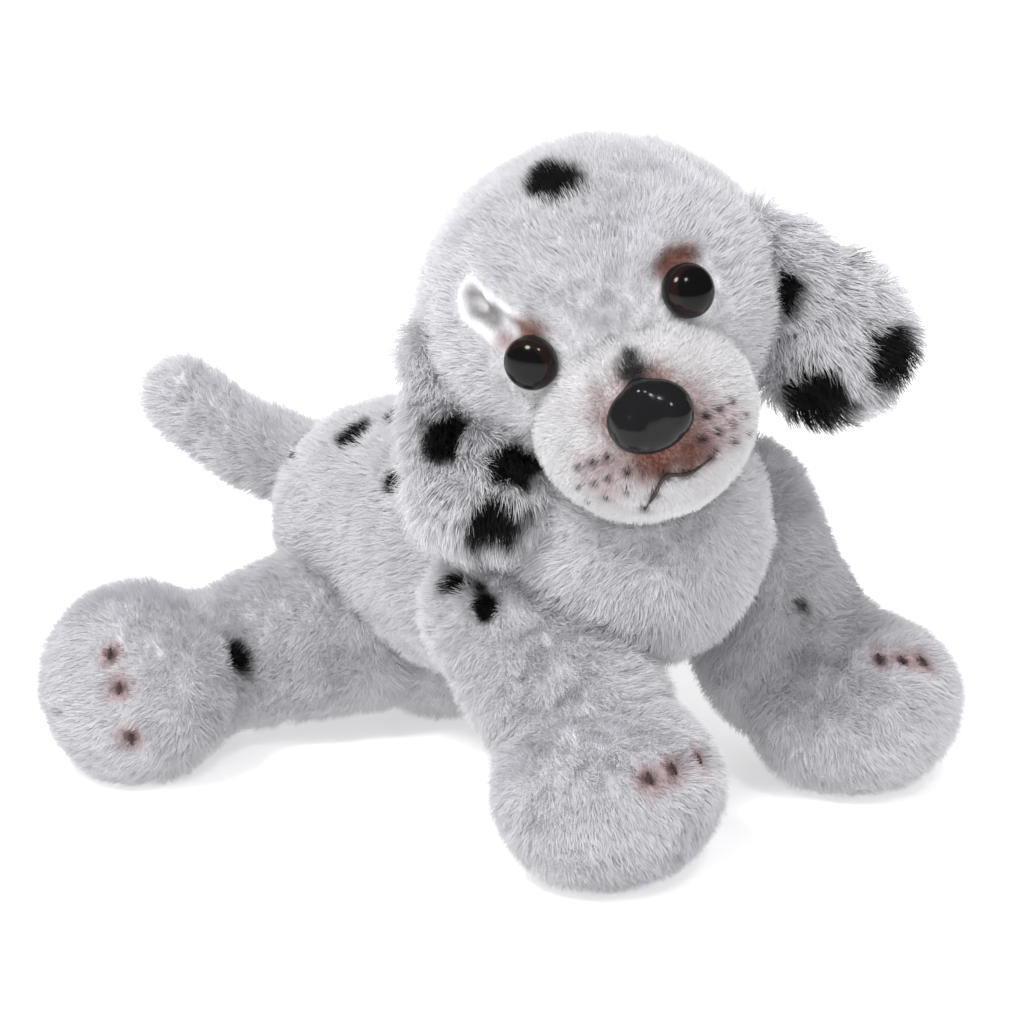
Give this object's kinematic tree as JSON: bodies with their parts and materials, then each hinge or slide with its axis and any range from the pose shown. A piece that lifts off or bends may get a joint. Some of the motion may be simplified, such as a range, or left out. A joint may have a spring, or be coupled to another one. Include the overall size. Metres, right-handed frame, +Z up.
{
  "type": "plush dog",
  "caption": "Lying plush puppy with spotted white fur, a large turned head, floppy ears, splayed hind legs, round paws and a short tail, sewn from soft covers around fibre and pellet filling",
  "frame": {"origin": "on the ground, under the middle of the toy's bounding box", "axes": "+Z up, the dog's body faces -Y, its right side is -X"},
  "size_m": [0.2414, 0.251, 0.187],
  "materials": {
    "white_fur": "soft white fur fabric with black spots, 5 mm pile",
    "short_fur": "short white velboa fabric with airbrushed brown",
    "ear_fur": "long shaggy white fur fabric with large black spots",
    "ear_lining": "short white fur fabric",
    "fibre_filling": "loose white polyester fibre",
    "pellet_bag": "thin woven bag of plastic pellets",
    "eye_plastic": "glossy black dome with a dark brown rim",
    "nose_plastic": "glossy black moulded nose with a fine grain",
    "washer_plastic": "plain moulded washer",
    "mouth_thread": "dark brown embroidery thread",
    "toe_thread": "dark embroidery thread",
    "white_thread": "white sewing thread"
  },
  "bodies": {
    "torso": {"body_cover": "white_fur", "belly_panel": "white_fur", "body_stuffing": "fibre_filling", "rump_pellet_pouch": "pellet_bag", "closing_stitches": "white_thread"},
    "neck": {"neck_stuffing": "fibre_filling", "neck_stitches": "white_thread"},
    "head": {"head_cover": "white_fur", "muzzle_cover": "short_fur", "head_stuffing": "fibre_filling", "mouth_stitches": "mouth_thread", "eye_right": "eye_plastic", "eye_left": "eye_plastic", "eye_washer_right": "washer_plastic", "eye_washer_left": "washer_plastic", "nose": "nose_plastic", "nose_washer": "washer_plastic"},
    "ear_right": {"ear_right_outer": "ear_fur", "ear_right_lining": "ear_lining"},
    "ear_left": {"ear_left_outer": "ear_fur", "ear_left_lining": "ear_lining"},
    "front_leg_right": {"front_leg_right_cover": "white_fur", "front_leg_right_stuffing": "fibre_filling", "front_leg_right_pouch": "pellet_bag", "front_leg_right_toes": "toe_thread"},
    "front_leg_left": {"front_leg_left_cover": "white_fur", "front_leg_left_stuffing": "fibre_filling", "front_leg_left_pouch": "pellet_bag", "front_leg_left_toes": "toe_thread"},
    "hind_leg_right": {"hind_leg_right_cover": "white_fur", "hind_leg_right_stuffing": "fibre_filling", "hind_leg_right_pouch": "pellet_bag", "hind_leg_right_toes": "toe_thread"},
    "hind_leg_left": {"hind_leg_left_cover": "white_fur", "hind_leg_left_stuffing": "fibre_filling", "hind_leg_left_pouch": "pellet_bag", "hind_leg_left_toes": "toe_thread"},
    "tail": {"tail_cover": "white_fur", "tail_stuffing": "fibre_filling"}
  },
  "joints": [
    {"name": "head_turn", "type": "hinge", "parent": "torso", "child": "neck", "pos_m": [-0.002, -0.05045, 0.14], "axis": [0, 0, 1], "range_deg": [-8, 25]},
    {"name": "head_nod", "type": "hinge", "parent": "neck", "child": "head", "pos_m": [-0.002, -0.05045, 0.14], "axis": [0.7547, -0.6561, 0], "range_deg": [-18, 0]},
    {"name": "ear_right_flap", "type": "hinge", "parent": "head", "child": "ear_right", "pos_m": [-0.0407, -0.02068, 0.13495], "axis": [0.6461, 0.7432, -0.1737], "range_deg": [0, 55]},
    {"name": "ear_left_flap", "type": "hinge", "parent": "head", "child": "ear_left", "pos_m": [0.02879, -0.07264, 0.17112], "axis": [-0.6461, -0.7432, 0.1737], "range_deg": [0, 35]},
    {"name": "shoulder_right", "type": "hinge", "parent": "torso", "child": "front_leg_right", "pos_m": [-0.027, -0.04245, 0.058], "axis": [1, 0, 0], "range_deg": [-16, 16]},
    {"name": "shoulder_left", "type": "hinge", "parent": "torso", "child": "front_leg_left", "pos_m": [0.045, -0.05545, 0.072], "axis": [1, 0, 0], "range_deg": [-16, 16]},
    {"name": "hip_right", "type": "hinge", "parent": "torso", "child": "hind_leg_right", "pos_m": [-0.0295, 0.03055, 0.028], "axis": [0, 0, 1], "range_deg": [-18, 18]},
    {"name": "hip_left", "type": "hinge", "parent": "torso", "child": "hind_leg_left", "pos_m": [0.0295, 0.03055, 0.028], "axis": [0, 0, 1], "range_deg": [-18, 18]},
    {"name": "tail_wag", "type": "hinge", "parent": "torso", "child": "tail", "pos_m": [-0.001, 0.07055, 0.066], "axis": [0, 0, 1], "range_deg": [-18, 18]}
  ]
}
